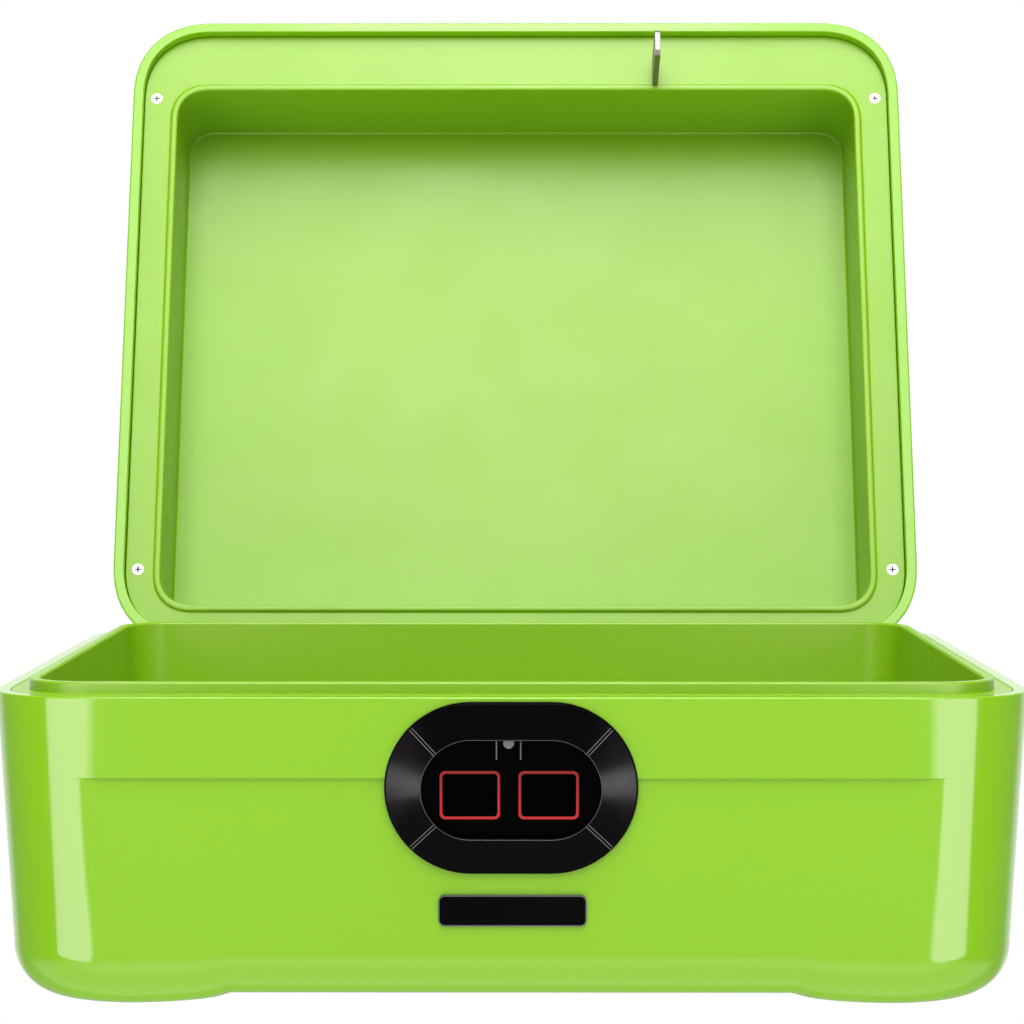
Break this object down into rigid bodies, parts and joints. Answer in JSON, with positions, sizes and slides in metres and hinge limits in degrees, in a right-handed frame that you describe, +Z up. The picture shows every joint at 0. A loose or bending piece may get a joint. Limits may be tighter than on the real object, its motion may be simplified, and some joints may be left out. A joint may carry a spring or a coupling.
{
  "type": "gun safe",
  "caption": "Small top-opening moulded gun safe with a two-window fingerprint lock, lined tub, hinged lid, strike hook and motor-driven bolt.",
  "frame": {"origin": "middle of the anchor-hole pattern at floor level, under the middle of the box", "axes": "+X to the right, the front with the fingerprint bezel faces -Y, +Z up out of the floor"},
  "size_m": [0.29, 0.3908, 0.312],
  "materials": {
    "green_gloss": "glossy lime green moulding",
    "green_satin": "satin lime green moulding",
    "foot_rubber": "matt black rubber",
    "zinc_screw": "bright zinc",
    "black_gloss": "piano black",
    "black_panel": "gloss black panel",
    "dark_glass": "opaque black glass",
    "red_light": "lit red light guide",
    "lamp_lens": "translucent grey lens",
    "silver_trim": "bright silver",
    "black_plastic": "matt black",
    "board_green": "solder mask green",
    "dark_steel": "satin black coat",
    "bright_steel": "plain ground steel",
    "motor_steel": "drawn steel can",
    "brass": "cut brass",
    "cell_wrap": "printed sleeve, plain",
    "contact_nickel": "nickel plate",
    "reed_glass": "clear glass",
    "magnet": "nickel plated"
  },
  "bodies": {
    "base": {"base_shell": "green_gloss", "base_liner": "green_satin", "foot_pad_1": "foot_rubber", "foot_pad_2": "foot_rubber", "foot_pad_3": "foot_rubber", "foot_pad_4": "foot_rubber", "tub_screws": "zinc_screw", "bezel_base": "black_gloss", "bezel_ring": "black_gloss", "sensor_panel": "black_panel", "finger_window_1": "dark_glass", "finger_window_2": "dark_glass", "glow_frame_1": "red_light", "glow_frame_2": "red_light", "status_led": "lamp_lens", "status_bars": "silver_trim", "finger_sensor_1": "black_plastic", "finger_sensor_2": "black_plastic", "control_board": "board_green", "board_parts": "black_plastic", "buzzer": "black_plastic", "nameplate": "black_gloss", "nameplate_trim": "silver_trim", "lock_housing": "green_satin", "housing_screws": "zinc_screw", "lock_frame": "dark_steel", "frame_screws": "zinc_screw", "gear_motor": "motor_steel", "motor_screws": "zinc_screw", "battery_tray": "black_plastic", "battery_1": "cell_wrap", "battery_2": "cell_wrap", "battery_3": "cell_wrap", "battery_4": "cell_wrap", "battery_contacts": "contact_nickel", "reed_switch": "reed_glass", "hinge_base_1": "dark_steel", "hinge_base_2": "dark_steel", "hinge_pin_1": "bright_steel", "hinge_pin_2": "bright_steel", "base_rivets": "bright_steel"},
    "lid": {"hinge_lid_1": "dark_steel", "hinge_lid_2": "dark_steel", "lid_rivets": "bright_steel", "lid_shell": "green_gloss", "lid_liner": "green_satin", "lid_screws": "zinc_screw", "strike_hook": "bright_steel", "hook_screws": "zinc_screw", "lid_magnet": "magnet"},
    "bolt": {"bolt": "bright_steel"},
    "pinion": {"drive_pinion": "brass", "motor_shaft": "bright_steel"},
    "battery_door": {"battery_door": "green_satin"}
  },
  "joints": [
    {"name": "lid_hinge", "type": "hinge", "parent": "base", "child": "lid", "pos_m": [0, 0.129, 0.0786], "axis": [1, 0, 0], "range_deg": [0, 110]},
    {"name": "bolt_slide", "type": "slide", "parent": "base", "child": "bolt", "axis": [1, 0, 0], "range_m": [0, 0.01]},
    {"name": "pinion_spin", "type": "hinge", "parent": "base", "child": "pinion", "pos_m": [0.018, -0.09585, 0], "axis": [0, 0, 1], "range_deg": [0, 120]},
    {"name": "battery_door_slide", "type": "slide", "parent": "base", "child": "battery_door", "axis": [1, 0, 0], "range_m": [0, 0.058]}
  ],
  "couplings": [
    {"joint": "pinion_spin", "follows": "bolt_slide", "rad_per_m": 208.33}
  ]
}
